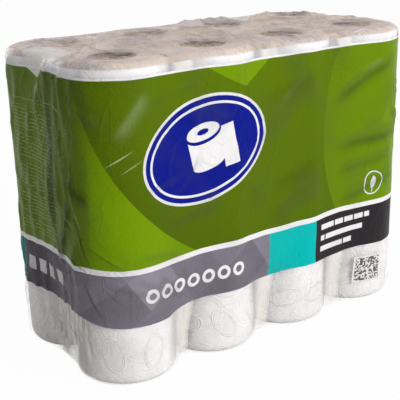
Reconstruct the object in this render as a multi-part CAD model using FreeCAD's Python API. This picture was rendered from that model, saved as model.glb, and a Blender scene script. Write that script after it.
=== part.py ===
"""A pack of 24 toilet rolls held in one printed film wrap.

The rolls stand upright in three layers, four across and two deep. Each roll is a
paper winding on a cardboard core. The film is one sheet: a sleeve drawn tight
around the rolls, so that it bulges over each roll and dips between them, and
closed above and below by an envelope fold, with a triangular tuck at each end and
a welded seam along the middle. On top the film is loose and stands up in folds.

Frame: X along the pack's length, -Y is the front, +Z is up, and the origin is the
middle of the footprint on the surface that the pack stands on. Millimetres.
"""
import FreeCAD
import Part

import math
import os

from FreeCAD import Vector

# How the rolls are packed.
columns = 4
rows = 2
layers = 3

# The roll.
roll_diameter = 93.4
roll_width = 95.0
rim_round = 7.5
sheet_thickness = 0.4
tail_blend_deg = 150.0
# How far the cut edge turns from one roll to the next: along a row, across, and up.
tail_turns = (47.0, 101.0, 139.0)
# The end faces sink towards the core in low steps, because the turns never line up.
turn_step = 0.3
turn_bands = 3

# The cardboard core.
core_bore = 40.0
core_wall = 0.8
core_setback = 1.0

# The room between two rolls side by side, and between a roll and the film around it.
# Above and below, the rolls stand on each other and on the film.
roll_gap = 0.6
wrap_clearance = 0.3

# The film wrap.
film_wall = 0.4
fold_step = 0.3
seam_width = 20.0
seam_offset = 50.0
tuck_start = 38.0
tuck_reach = 99.0

# How deep the film dips between two rolls, as (share of the height, depth). It is drawn
# in most near the closures, where only the end of one roll holds it out.
dips = [(0.10, 15.0), (0.26, 6.0), (0.50, 3.2), (0.80, 3.2), (0.92, 7.0)]

# Where the loose film over the top stands up, as low tents: the two ends of each fold in
# plan, counted in rolls from the middle of the pack, then its width and its height.
loose_folds = [
    ((-0.10, 0.74), (0.88, 0.62), 32.0, 4.8),
    ((1.12, 0.72), (1.84, 0.36), 32.0, 5.0),
    ((0.30, 0.52), (-0.30, -0.78), 15.0, 2.8),
    ((-1.84, -0.44), (-0.94, 0.54), 14.0, 1.8),
    ((1.84, -0.44), (0.94, 0.54), 14.0, 1.8),
    ((-1.78, 0.72), (-0.82, 0.48), 12.0, 1.6),
    ((-1.20, 0.10), (-0.62, -0.72), 14.0, 1.6),
    ((0.62, 0.40), (1.26, -0.66), 14.0, 1.8),
]

# How finely the curves that aren't whole arcs are made.
rim_facets = 3
edge_facets = 3
dip_levels = 3

# Worked out from the sizes above.
roll_radius = roll_diameter / 2
core_radius = core_bore / 2 + core_wall
pitch = roll_diameter + roll_gap
stack_height = layers * roll_width
lobe_radius = roll_radius + wrap_clearance + film_wall
wrap_edge_round = rim_round + wrap_clearance + film_wall
base_cap = fold_step
first_roll_z = base_cap + film_wall
top_cap = first_roll_z + stack_height + film_wall

UP = Vector(0, 0, 1)


def roll_centre(column, row):
    """The axis of one roll in plan."""
    x = (column - (columns - 1) / 2) * pitch
    y = (row - (rows - 1) / 2) * pitch
    return Vector(x, y, 0)


# The paper winding.


def end_steps(inner, outer):
    """The radii where the end face drops by a step."""
    span = (outer - inner) / turn_bands
    return [outer - span * number for number in range(1, turn_bands)]


def rim_points(outer):
    """The rounded lower rim, from the end face out to the wall, as even steps of a quarter circle."""
    points = []
    for number in range(rim_facets + 1):
        turn = math.pi / 2 * number / rim_facets
        x = outer - rim_round + rim_round * math.sin(turn)
        points.append(Vector(x, 0, rim_round - rim_round * math.cos(turn)))
    return points


def winding_section():
    """Half the section of the winding: rounded rims, and end faces in low steps."""
    inner = core_radius
    outer = roll_radius - sheet_thickness
    low = [Vector(inner, 0, turn_step * (turn_bands - 1))]
    for number, radius in reversed(list(enumerate(end_steps(inner, outer - rim_round)))):
        low.append(Vector(radius, 0, turn_step * (number + 1)))
        low.append(Vector(radius, 0, turn_step * number))
    low += rim_points(outer)
    high = [Vector(point.x, 0, roll_width - point.z) for point in reversed(low)]
    return Part.Face(Part.makePolygon(low + high + low[:1]))


def loose_tail():
    """The last sheet: a crescent that grows to its full thickness at the cut edge."""
    under = roll_radius - sheet_thickness
    outside = []
    for share in (0, 0.5, 1):
        turn = math.radians(tail_blend_deg) * share
        outside.append(Vector(math.cos(turn), math.sin(turn), 0) * (under + sheet_thickness * share))
    centre = Vector(0, 0, 0)
    edges = [
        Part.Arc(*outside).toShape(),
        Part.LineSegment(outside[-1], centre).toShape(),
        Part.LineSegment(centre, outside[0]).toShape(),
    ]
    sector = Part.Face(Part.Wire(edges)).extrude(UP * (roll_width - 2 * rim_round))
    sector.translate(UP * rim_round)
    # It reaches one sheet into the winding, so that the two become one solid.
    return sector.cut(Part.makeCylinder(under - sheet_thickness, roll_width))


def paper_roll():
    """One winding with its axis on Z and its lower end at Z 0."""
    winding = winding_section().revolve(Vector(0, 0, 0), UP, 360)
    return winding.fuse(loose_tail()).removeSplitter().Solids[0]


def cardboard_core():
    """The tube that the paper is wound on, a little shorter than the roll."""
    length = roll_width - 2 * core_setback
    tube = Part.makeCylinder(core_radius, length)
    bore = Part.makeCylinder(core_bore / 2, length)
    core = tube.cut(bore)
    core.translate(UP * core_setback)
    return core


# The film wrap.


def perimeter():
    """The rolls round the outside, in order, each with the outward side that follows it."""
    front = [(roll_centre(c, 0), Vector(0, -1, 0)) for c in range(columns - 1)]
    right = [(roll_centre(columns - 1, r), Vector(1, 0, 0)) for r in range(rows - 1)]
    back = [(roll_centre(c, rows - 1), Vector(0, 1, 0)) for c in range(columns - 1, 0, -1)]
    left = [(roll_centre(0, r), Vector(-1, 0, 0)) for r in range(rows - 1, 0, -1)]
    return front + right + back + left


def dip_radius(depth):
    """The radius of the hollow between two rolls that makes a dip of this depth."""
    half = pitch / 2
    reach = (half * half + depth * depth) / (2 * depth)
    return reach - lobe_radius


def outline(height, dip, inset):
    """The film's outline in plan: an arc over each roll and a tangent one between two."""
    radius = lobe_radius - inset
    hollow = dip_radius(dip) + inset
    stops = perimeter()
    span = math.sqrt((radius + hollow) ** 2 - (pitch / 2) ** 2)
    hollows = []
    for number, (centre, side) in enumerate(stops):
        following = stops[(number + 1) % len(stops)][0]
        hollows.append((centre + following) * 0.5 + side * span)
    edges = []
    lift = UP * height
    for number, (centre, side) in enumerate(stops):
        before = hollows[number - 1]
        after = hollows[number]
        following = stops[(number + 1) % len(stops)][0]
        reach = radius / (radius + hollow)
        start = centre + (before - centre) * reach
        end = centre + (after - centre) * reach
        outward = (stops[number - 1][1] + side).normalize()
        over = Part.Arc(start + lift, centre + outward * radius + lift, end + lift)
        begin = following + (after - following) * reach
        between = Part.Arc(end + lift, after - side * hollow + lift, begin + lift)
        edges += [over.toShape(), between.toShape()]
    return Part.Wire(edges)


def dip_at(height):
    """The dip at a height, eased in and out between the stated ones."""
    share = (height - base_cap) / (top_cap - base_cap)
    if share <= dips[0][0]:
        return dips[0][1]
    for (low, depth), (high, following) in zip(dips, dips[1:]):
        if share <= high:
            part = (share - low) / (high - low)
            return depth + (following - depth) * part * part * (3 - 2 * part)
    return dips[-1][1]


def body_heights(low, high):
    """Heights of the outlines between the closures, close together where the dip changes."""
    stated = [low] + [base_cap + share * (top_cap - base_cap) for share, depth in dips] + [high]
    heights = []
    for below, above in zip(stated, stated[1:]):
        count = 1 if math.isclose(dip_at(below), dip_at(above)) else dip_levels
        heights += [below + (above - below) * number / count for number in range(count)]
    return heights + [high]


def envelope(inset):
    """The closed block inside the film's outer face, taken in by an inset all round."""
    low = base_cap + wrap_edge_round
    high = top_cap - wrap_edge_round
    edge = wrap_edge_round - inset
    turns = [math.pi / 2 * number / edge_facets for number in range(1, edge_facets + 1)]
    curve = [(edge * math.sin(turn), inset + edge * (1 - math.cos(turn))) for turn in turns]
    levels = [(low - drop, more) for drop, more in reversed(curve)]
    levels += [(height, inset) for height in body_heights(low, high)]
    levels += [(high + rise, more) for rise, more in curve]
    wires = [outline(height, dip_at(height), more) for height, more in levels]
    return Part.makeLoft(wires, True, True)


def cap_plate(points, height):
    """A layer of folded film on a closure, cut to the flat part of that closure."""
    lift = UP * height
    shape = Part.Face(Part.makePolygon([p + lift for p in points + points[:1]]))
    flat = Part.Face(outline(height, dip_at(height), wrap_edge_round))
    return shape.extrude(UP * fold_step).common(flat.extrude(UP * fold_step))


def closure_folds(height):
    """The two end tucks of one closure, and the welded seam that their points meet."""
    half_length = (columns - 1) / 2 * pitch + lobe_radius
    half_depth = (rows - 1) / 2 * pitch + lobe_radius
    plates = []
    for side in (-1, 1):
        end = side * half_length
        tuck = [
            Vector(end, tuck_start - half_depth, 0),
            Vector(end - side * tuck_reach, seam_offset, 0),
            Vector(end, half_depth, 0),
        ]
        plates.append(cap_plate(tuck, height))
    near = seam_offset - seam_width / 2
    far = seam_offset + seam_width / 2
    corners = [(-half_length, near), (half_length, near), (half_length, far), (-half_length, far)]
    plates.append(cap_plate([Vector(x, y, 0) for x, y in corners], height))
    return plates


def loose_fold(start, end, width, height):
    """One fold of loose film: a tent on a diamond, whose crest is the middle third of its length."""
    foot = top_cap - film_wall / 2
    near = Vector(start[0] * pitch, start[1] * pitch, foot)
    far = Vector(end[0] * pitch, end[1] * pitch, foot)
    run = far - near
    aside = UP.cross(run).normalize() * width / 2
    rise = UP * (height + film_wall / 2)
    crest = [near + run / 3 + rise, near + run * 2 / 3 + rise]
    left = near + run / 2 + aside
    right = near + run / 2 - aside
    triangles = [(near, right, left), (right, far, left)]
    for side in (left, right):
        triangles += [(near, crest[0], side), (crest[0], crest[1], side), (crest[1], far, side)]
    faces = [Part.Face(Part.makePolygon([a, b, c, a])) for a, b, c in triangles]
    tent = Part.Solid(Part.Shell(faces))
    return tent.reversed() if tent.Volume < 0 else tent


def film_wrap():
    """The whole film: the hollow sleeve with both closures, their folds and the loose folds."""
    skin = envelope(0).cut(envelope(film_wall))
    folds = closure_folds(base_cap - fold_step) + closure_folds(top_cap)
    folds += [loose_fold(*fold) for fold in loose_folds]
    return skin.fuse(folds).removeSplitter().Solids[0]


def place_name(number, count, first, last):
    """What to call one of a row: its ends by their names, and those between as middle."""
    if number == 0:
        return first
    if number == count - 1:
        return last
    return "middle" if count == 3 else "middle" + str(number)


def save(shape, name):
    """Writes one piece as a STEP file named after its node."""
    shape.exportStep(os.path.join("parts", name + ".step"))


def main():
    os.makedirs("parts", exist_ok=True)
    roll = paper_roll()
    core = cardboard_core()
    for layer in range(layers):
        for row in range(rows):
            for column in range(columns):
                place = roll_centre(column, row) + UP * (first_roll_z + layer * roll_width)
                height_name = place_name(layer, layers, "bottom", "top")
                depth_name = place_name(row, rows, "front", "rear")
                where = "_".join((height_name, depth_name, str(column + 1)))
                turn = tail_turns[0] * column + tail_turns[1] * row + tail_turns[2] * layer
                for piece, kind in ((roll, "roll"), (core, "core")):
                    copy = piece.copy()
                    copy.rotate(Vector(0, 0, 0), UP, turn)
                    copy.translate(place)
                    save(copy, kind + "_" + where)
    save(film_wrap(), "film_wrap")


main()
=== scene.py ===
"""Dresses the toilet roll pack: its printed film, the rolls that show through it, and the stage.

Everything is in metres in the pack's own frame: X along the pack, -Y its front, +Z up.
"""
import math

import bpy
import numpy as np
from mathutils import Matrix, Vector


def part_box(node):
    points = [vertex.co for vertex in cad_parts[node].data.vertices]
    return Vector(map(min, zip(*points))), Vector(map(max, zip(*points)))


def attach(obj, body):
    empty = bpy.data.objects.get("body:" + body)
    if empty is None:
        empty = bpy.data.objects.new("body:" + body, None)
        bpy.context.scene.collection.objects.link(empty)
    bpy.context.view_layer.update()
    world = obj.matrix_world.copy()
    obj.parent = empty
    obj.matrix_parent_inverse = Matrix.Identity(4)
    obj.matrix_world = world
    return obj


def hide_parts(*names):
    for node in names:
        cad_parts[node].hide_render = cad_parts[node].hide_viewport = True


bl_info = {
    "name": "Toilet Roll Pack",
    "version": (1, 0, 0),
    "blender": (4, 5, 0),
    "location": "3D Viewport > Sidebar > Roll Pack",
    "description": "Builds the film, rolls and stage of a wrapped pack of toilet rolls",
    "category": "Add Mesh",
}

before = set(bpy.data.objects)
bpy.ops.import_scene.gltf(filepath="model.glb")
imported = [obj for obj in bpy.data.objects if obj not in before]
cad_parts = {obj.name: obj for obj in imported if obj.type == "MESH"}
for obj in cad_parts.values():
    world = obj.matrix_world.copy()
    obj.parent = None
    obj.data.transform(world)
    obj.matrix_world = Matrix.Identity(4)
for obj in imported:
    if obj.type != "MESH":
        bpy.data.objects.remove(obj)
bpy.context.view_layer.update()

LAYERS = ("bottom", "middle", "top")
ROWS = ("front", "rear")
COLUMNS = 4


def node_middle(node):
    """The centre of a node's box, in metres."""
    low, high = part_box(node)
    return [(a + b) / 2 for a, b in zip(low, high)]


first_roll = node_middle("core_bottom_front_1")
next_roll = node_middle("core_bottom_front_2")
roll_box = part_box("roll_bottom_front_1")
film_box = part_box("film_wrap")

PITCH = next_roll[0] - first_roll[0]
HALF_ROW = (COLUMNS - 1) / 2 * PITCH
ROLL_WIDTH = roll_box[1][2] - roll_box[0][2]
FILM_FLOOR = film_box[0][2]
FILM_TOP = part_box("roll_top_front_1")[1][2] + 0.0004
LOBE_RADIUS = film_box[1][0] - HALF_ROW
CORE_RADIUS = (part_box("core_bottom_front_1")[1][0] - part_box("core_bottom_front_1")[0][0]) / 2
QUARTER_TURN = LOBE_RADIUS * math.pi / 2
GIRTH = 2 * (2 * HALF_ROW + PITCH) + 4 * QUARTER_TURN


def from_screen(red, green, blue):
    """A colour as light, from the 0 to 255 levels that a screen shows it with."""
    levels = np.array((red, green, blue)) / 255
    light = np.where(levels <= 0.04045, levels / 12.92, ((levels + 0.055) / 1.055) ** 2.4)
    return tuple(float(level) for level in light)


def colour(name, description, screen):
    """A colour property whose default is given in screen levels."""
    return bpy.props.FloatVectorProperty(
        name=name, description=description, size=3, min=0, max=1, subtype="COLOR",
        default=from_screen(*screen),
    )


def length(name, description, default):
    """A length property in metres."""
    return bpy.props.FloatProperty(
        name=name, description=description, default=default, unit="LENGTH", precision=4
    )


class FilmSettings(bpy.types.PropertyGroup):
    """Sizes and colours of the film and its print."""

    green_dark: colour("Dark green", "Deepest field of the print", (72, 93, 0))
    green_mid: colour("Mid green", "Middle field of the print", (88, 113, 0))
    green_light: colour("Light green", "Brightest field of the print", (108, 142, 0))
    grey_light: colour("Light grey", "Brightest facets of the band", (142, 137, 149))
    # The band's darkest grey, and also the painted shade laid over the band on the two ends.
    dark_grey_and_end_shade: colour("Dark grey", "Deepest facets of the band", (104, 100, 110))
    teal: colour("Teal", "Bright block in the band", (0, 176, 172))
    black: colour("Black", "Dark block in the band", (42, 37, 41))
    navy: colour("Navy", "Badge of the print", (8, 22, 128))
    # White ink of the print, and also the white of the painted glints on the clear film.
    white_ink_and_glint: colour("White ink", "Line, badge and bars of the print", (226, 223, 224))
    # Painted shade: the green of the two ends, deeper than the front's because the ends face away from the
    # light.
    end_green_painted_shade: colour("End green", "Green of the two ends", (70, 84, 14))
    teal_dark: colour("Dark teal", "Strip at the back edge of the end's band", (0, 126, 114))
    # Painted shade: the ink darkened where the film stands out in a fold.
    fold_painted_shade: colour("Dulled fold", "Ink where the film is creased", (64, 66, 50))
    fold_dark: colour("Fold shade", "Ink in the shade of a fold", (30, 38, 8))
    glint: colour("Glint", "Ink where a sharp crease shines", (214, 226, 186))
    dash_ink: colour("Small print", "Dashes on the two ends", (196, 206, 140))
    # Partly the clear film's own haze and partly painted shade of the dim tops of the rolls.
    warm_haze_and_shade: colour("Warm haze", "Cast of the clear film over the roll ends", (214, 186, 160))
    # Painted shade: dark brown on the clear film over the open cores and along the dark strokes and creases.
    deep_painted_shade: colour("Deep haze", "Cast of the film over the open cores", (96, 70, 58))
    # Partly the milky film and partly painted light: a near-white that lifts the strip above the print out of
    # shade.
    collar: colour("Collar", "Clear film where it lies against the side of the top rolls", (252, 252, 255))
    milk_and_painted_light: colour("Light pleats", "Milky pleats between the rolls", (232, 227, 222))
    # Milky film, and painted light where it covers the shaded side of a roll beside a valley.
    pleat_shade: colour("Pleat shade", "Hollows of the pleats", (186, 176, 170))
    # Partly the film's haze and partly painted shade, laid in cloudy patches over the roll ends.
    grey_haze_and_shade: colour("Grey haze", "Cast of the film where it is smudged", (160, 148, 150))
    band_low: length("Band foot", "Height of the band's lower edge", 0.064)
    band_high: length("Band head", "Height of the band's upper edge", 0.1075)
    line_high: length("Line head", "Height where the white line ends", 0.1125)
    print_high: length("Print head", "Height where the print ends", 0.2725)


class RollSettings(bpy.types.PropertyGroup):
    """Sizes and colours of the paper and the cores."""

    paper: colour("Paper", "Tissue in plain light", (238, 235, 236))
    paper_shade: colour("Paper hollow", "Tissue in the pressed lines and between turns", (202, 195, 193))
    board: colour("Board", "Cardboard of the cores", (150, 128, 108))
    board_dark: colour("Board fibres", "Darker fibres of the cardboard", (112, 92, 76))
    slack: length("Slack", "Room between a roll's wall and its packed size", 0.0007)
    rim_round: length("Rim", "Radius of the rounded rims", 0.0085)


class StageSettings(bpy.types.PropertyGroup):
    """The camera, lamps and floor."""

    lens: bpy.props.FloatProperty(name="Lens", description="Focal length", default=78.9, unit="CAMERA")
    azimuth: bpy.props.FloatProperty(
        name="Azimuth", description="How far the camera stands round to the left",
        default=math.radians(36.59), subtype="ANGLE",
    )
    elevation: bpy.props.FloatProperty(
        name="Elevation", description="How far the camera looks down",
        default=math.radians(18.31), subtype="ANGLE",
    )
    lean: bpy.props.FloatProperty(
        name="Lean", description="How far the camera is turned about its own view",
        default=math.radians(-1.375), subtype="ANGLE",
    )
    place: bpy.props.FloatVectorProperty(
        name="Place", description="Where the camera stands", subtype="TRANSLATION",
        default=(-0.5174, -0.6715, 0.3978),
    )
    floor: colour("Floor", "Floor and background", (255, 255, 255))


GROUPS = {"roll_pack_film": FilmSettings, "roll_pack_rolls": RollSettings, "roll_pack_stage": StageSettings}


# Shapes as functions of whole arrays.


def smooth(low, high, value):
    """Rises from 0 at low to 1 at high, level at both ends: 3 t squared less 2 t cubed."""
    part = np.clip((value - low) / (high - low), 0, 1)
    return part * part * (3 - 2 * part)


def ripple(x, y, size, seed, count=14, spread=0.5):
    """Smooth noise of about one unit: a sum of sine waves of nearly one length, in random directions."""
    draw = np.random.default_rng(seed)
    turns = draw.uniform(0, 2 * math.pi, count)
    waves = 2 * math.pi / size * draw.uniform(1 - spread, 1 + spread, count)
    starts = draw.uniform(0, 2 * math.pi, count)
    total = np.zeros(np.broadcast(x, y).shape)
    for turn, wave, start in zip(turns, waves, starts):
        total = total + np.sin(wave * (x * math.cos(turn) + y * math.sin(turn)) + start)
    return total / math.sqrt(count / 2)


def ridges(x, y, size, seed, sharp=2.0):
    """Noise of sharp crests: where a ripple crosses zero it stands at 1, and it falls off to both sides."""
    return np.clip(1 - sharp * np.abs(ripple(x, y, size, seed)) * 0.8, 0, 1) ** 1.5


def crease(x, y, start, end, width, lift):
    """A fold from start to end: a bell across it, fading to nothing at its two tips."""
    ax, ay = start
    bx, by = end
    run = math.hypot(bx - ax, by - ay)
    along = ((x - ax) * (bx - ax) + (y - ay) * (by - ay)) / run ** 2
    across = ((x - ax) * (by - ay) - (y - ay) * (bx - ax)) / run
    tips = smooth(0, 0.3, along) * smooth(0, 0.3, 1 - along)
    # One flank is steeper than the other, as on a fold that leans.
    side = np.where(across > 0, across / width, across / (0.45 * width))
    return lift * tips * np.exp(-side * side)


def grid_faces(rows, columns, closed):
    """Quads of a grid of points, row by row; a closed grid joins its last column to its first."""
    wide = columns if closed else columns - 1
    row, column = np.meshgrid(np.arange(rows - 1), np.arange(wide), indexing="ij")
    after = (column + 1) % columns
    quads = np.stack([row * columns + column, row * columns + after,
                      (row + 1) * columns + after, (row + 1) * columns + column], axis=-1)
    return quads.reshape(-1, 4)


def grid_uvs(left, right, up):
    """Print coordinates of each quad's corners: along from its two sides, and up from the grid."""
    after = np.roll(up, -1, axis=1)
    corners = ((left[:-1], up[:-1]), (right[:-1], after[:-1]), (right[1:], after[1:]), (left[1:], up[1:]))
    return np.stack([np.stack(corner, axis=-1) for corner in corners], axis=2).reshape(-1, 4, 2)


def weld(points, quads, step=1e-6):
    """Joins points that coincide, and drops quads that this leaves with no area.

    Returns the points, the quads, the place that each point had, and which quads were kept.
    """
    keys = np.round(points / step).astype(np.int64)
    unused, first, join = np.unique(keys, axis=0, return_index=True, return_inverse=True)
    quads = join.reshape(-1)[quads]
    whole = (quads[:, 0] != quads[:, 2]) & (quads[:, 1] != quads[:, 3])
    whole &= (quads[:, 0] != quads[:, 1]) | (quads[:, 2] != quads[:, 3])
    return points[first], quads[whole], first, whole


def mesh_object(name, points, quads, uvs=None, fields=None):
    """A smooth-shaded object from a grid's points and quads, with a corner UV map and point fields."""
    points, quads, first, whole = weld(points, quads)
    # A quad with two corners in one point becomes a triangle.
    keep = quads != np.roll(quads, 1, axis=1)
    sizes = keep.sum(axis=1)
    mesh = bpy.data.meshes.new(name)
    mesh.vertices.add(len(points))
    mesh.vertices.foreach_set("co", points.astype(np.float32).ravel())
    mesh.loops.add(int(sizes.sum()))
    mesh.loops.foreach_set("vertex_index", quads[keep].astype(np.int32))
    mesh.polygons.add(len(quads))
    mesh.polygons.foreach_set("loop_start", (np.cumsum(sizes) - sizes).astype(np.int32))
    mesh.update(calc_edges=True)
    mesh.polygons.foreach_set("use_smooth", np.ones(len(quads), dtype=bool))
    if uvs is not None:
        layer = mesh.uv_layers.new(name="print")
        layer.data.foreach_set("uv", uvs[whole][keep].astype(np.float32).ravel())
    for field, values in (fields or {}).items():
        attribute = mesh.attributes.new(field, "FLOAT", "POINT")
        attribute.data.foreach_set("value", values.reshape(-1)[first].astype(np.float32))
    mesh.update()
    piece = bpy.data.objects.new(name, mesh)
    bpy.context.collection.objects.link(piece)
    return piece


# Shader maths.


class Value:
    """A number that a material works out, so that shader maths reads like arithmetic."""

    def __init__(self, graph, socket):
        self.graph = graph
        self.socket = socket

    def __add__(self, other):
        return self.graph.maths("ADD", self, other)

    __radd__ = __add__

    def __sub__(self, other):
        return self.graph.maths("SUBTRACT", self, other)

    def __rsub__(self, other):
        return self.graph.maths("SUBTRACT", other, self)

    def __mul__(self, other):
        return self.graph.maths("MULTIPLY", self, other)

    __rmul__ = __mul__

    def __truediv__(self, other):
        return self.graph.maths("DIVIDE", self, other)

    def __rtruediv__(self, other):
        return self.graph.maths("DIVIDE", other, self)

    def __neg__(self):
        return self.graph.maths("MULTIPLY", self, -1)

    def __abs__(self):
        return self.graph.maths("ABSOLUTE", self)

    def __pow__(self, other):
        return self.graph.maths("POWER", self, other)

    def most(self, other):
        """The larger of this and another."""
        return self.graph.maths("MAXIMUM", self, other)

    def least(self, other):
        """The smaller of this and another."""
        return self.graph.maths("MINIMUM", self, other)

    def clamped(self):
        """The number held between 0 and 1."""
        return self.most(0.0).least(1.0)

    def floor(self):
        """The whole number below."""
        return self.graph.maths("FLOOR", self)

    def past_whole(self):
        """How far the number is past the whole one below."""
        return self - self.floor()

    def over(self, edge, soft=0.0002):
        """1 where the number is over the edge and 0 where it is under, softened between."""
        settings = {"interpolation_type": "SMOOTHSTEP"}
        inputs = {0: self, 1: edge - soft, 2: edge + soft}
        return Value(self.graph, self.graph.node("ShaderNodeMapRange", settings, inputs).outputs[0])

    def under(self, edge, soft=0.0002):
        """1 where the number is under the edge."""
        return 1 - self.over(edge, soft)


class Graph:
    """The nodes of a material or a world, with one method that adds any of them."""

    def __init__(self, owner):
        self.owner = owner
        owner.use_nodes = True
        self.tree = owner.node_tree
        self.tree.nodes.clear()

    def node(self, kind, settings=None, inputs=None):
        """Adds a node: its settings first, then the values or links of its sockets."""
        node = self.tree.nodes.new(kind)
        for name, setting in (settings or {}).items():
            setattr(node, name, setting)
        for name, given in (inputs or {}).items():
            socket = node.inputs[name]
            if isinstance(given, Value):
                self.tree.links.new(given.socket, socket)
            elif isinstance(given, bpy.types.NodeSocket):
                self.tree.links.new(given, socket)
            else:
                socket.default_value = given
        return node

    def maths(self, operation, first, second=0.0):
        """A Math node."""
        node = self.node("ShaderNodeMath", {"operation": operation}, {0: first, 1: second})
        return Value(self, node.outputs[0])

    def scaled(self, value, factor, plus):
        """A value times a factor, plus another number, in one node."""
        node = self.node("ShaderNodeMath", {"operation": "MULTIPLY_ADD"}, {0: value, 1: factor, 2: plus})
        return Value(self, node.outputs[0])

    def attribute(self, name):
        """A point field of the piece."""
        return Value(self, self.node("ShaderNodeAttribute", {"attribute_name": name}).outputs["Fac"])

    def uv(self):
        """The two print coordinates of the piece, along and up."""
        return self.parts(self.node("ShaderNodeUVMap", {"uv_map": "print"}).outputs[0])[:2]

    def place(self):
        """The three Object coordinates."""
        return self.parts(self.node("ShaderNodeTexCoord").outputs["Object"])

    def parts(self, vector):
        """The three numbers of a vector."""
        node = self.node("ShaderNodeSeparateXYZ", None, {0: vector})
        return tuple(Value(self, output) for output in node.outputs)

    def vector(self, x, y, z=0.0):
        """A vector of three numbers."""
        return self.node("ShaderNodeCombineXYZ", None, {0: x, 1: y, 2: z}).outputs[0]

    def noise(self, vector, scale, detail=2.0, roughness=0.5):
        """Cloudy noise about a half."""
        inputs = {"Vector": vector, "Scale": scale, "Detail": detail, "Roughness": roughness}
        return Value(self, self.node("ShaderNodeTexNoise", None, inputs).outputs["Fac"])

    def chance(self, vector):
        """A random number from 0 to 1 for each whole place."""
        node = self.node("ShaderNodeTexWhiteNoise", {"noise_dimensions": "3D"}, {"Vector": vector})
        return Value(self, node.outputs[0])

    def mix(self, share, first, second):
        """A colour between two."""
        node = self.node("ShaderNodeMix", {"data_type": "RGBA"}, {0: share})
        for socket, given in ((node.inputs[6], first), (node.inputs[7], second)):
            if isinstance(given, bpy.types.NodeSocket):
                self.tree.links.new(given, socket)
            else:
                socket.default_value = (*given, 1)
        return node.outputs[2]

    def bump(self, height, depth):
        """A normal from a height field, in which 1 is depth metres."""
        return self.node("ShaderNodeBump", None, {"Distance": depth, "Height": height}).outputs[0]

    def finish(self, **inputs):
        """Ends the material in one Principled shader."""
        named = {name.replace("_", " "): given for name, given in inputs.items()}
        shader = self.node("ShaderNodeBsdfPrincipled", None, named)
        self.node("ShaderNodeOutputMaterial", None, {0: shader.outputs[0]})
        return self.owner

    def seen(self):
        """1 for rays from the camera, from gloss and through clear film, and 0 for rays that only light."""
        path = self.node("ShaderNodeLightPath")
        camera, gloss, through = (
            Value(self, path.outputs[f"Is {kind} Ray"]) for kind in ("Camera", "Glossy", "Transmission")
        )
        return camera.most(gloss).most(through)


def turned(x, y, centre, angle):
    """Coordinates about a centre, on axes turned by an angle."""
    dx = x - centre[0]
    dy = y - centre[1]
    return dx * math.cos(angle) + dy * math.sin(angle), dy * math.cos(angle) - dx * math.sin(angle)


def distance_to(x, y, centre):
    """How far a place is from a centre: the root of the sum of squares."""
    dx = x - centre[0]
    dy = y - centre[1]
    return (dx * dx + dy * dy) ** 0.5


def in_box(x, y, half_x, half_y, soft=0.0002):
    """1 inside a box about zero."""
    return abs(x).under(half_x, soft) * abs(y).under(half_y, soft)


def in_oval(x, y, half_x, half_y, soft=0.0002):
    """1 inside an oval about zero."""
    return ((x * x) / half_x ** 2 + (y * y) / half_y ** 2).under(1, 2 * soft / min(half_x, half_y))


# The film.

# Where the loose film over the top stands up: the two ends of each fold in plan, counted in
# rolls from the middle of the pack, then its width and its height in metres.
LOOSE_FOLDS = (
    ((-0.10, 0.74), (0.88, 0.62), 0.032, 0.0048),
    ((1.12, 0.72), (1.84, 0.36), 0.032, 0.0050),
    ((0.30, 0.52), (-0.30, -0.78), 0.015, 0.0028),
    ((-1.84, -0.44), (-0.94, 0.54), 0.014, 0.0018),
    ((1.84, -0.44), (0.94, 0.54), 0.014, 0.0018),
    ((-1.78, 0.72), (-0.82, 0.48), 0.012, 0.0016),
    ((-1.20, 0.10), (-0.62, -0.72), 0.014, 0.0016),
    ((0.62, 0.40), (1.26, -0.66), 0.014, 0.0018),
)

# How deep the film dips between two rolls, as (share of the height, metres).
DIPS = ((0.0, 0.016), (0.10, 0.015), (0.22, 0.0075), (0.32, 0.0042), (0.50, 0.0032), (0.80, 0.0032),
        (0.92, 0.005), (1.0, 0.006))

# How finely the film's grid is made, and the radius of the edges between its wall and its closures.
FILM_COLUMNS = 640
WALL_ROWS = 104
ROUND_ROWS = 7
CLOSURE_ROWS = 15
EDGE_ROUND = 0.0092

# How far the wall may give way over a roll, and how much further in a valley.
PLAY = 0.0003
VALLEY_ROOM = 0.0012


def film_dip(height):
    """The dip at each height, straight between the stated ones and then smoothed."""
    share = (height - FILM_FLOOR) / (FILM_TOP - FILM_FLOOR)
    places, depths = zip(*DIPS)
    total = 0
    offsets = (-0.03, -0.015, 0, 0.015, 0.03)
    for offset in offsets:
        total = total + np.interp(share + offset, places, depths)
    return total / len(offsets)


def valley_share(along, height):
    """How deep each valley is beside the others near the base: the front's are deepest at the left.

    The share is one number from roll centre to roll centre, because the film stands out fully there.
    """
    number = np.floor(along / PITCH + 0.5)
    front = (number >= -1) & (number <= 1)
    share = np.where(front, 1 - 0.27 * number + 0.04, 1.0)
    share = np.where(np.abs(along + GIRTH / 4) < PITCH / 2, 0.45, share)
    return 1 + (share - 1) * (1 - smooth(0.04, 0.11, height))


def wall_reach(across, dip, inset):
    """How far the film stands out from a row of roll centres, across being the way from the nearest one.

    Over a roll it is a circle; between two it is a circle the other way round, which touches both.
    """
    half = PITCH / 2
    across = np.minimum(np.abs(across), half)
    reach = (half ** 2 + dip ** 2) / (2 * dip)
    radius = LOBE_RADIUS - inset
    hollow = reach - LOBE_RADIUS + inset
    over = np.sqrt(np.maximum(radius ** 2 - across ** 2, 0))
    between = reach - dip - np.sqrt(np.maximum(hollow ** 2 - (half - across) ** 2, 0))
    return np.where(across <= radius * half / reach, over, between)


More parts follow.
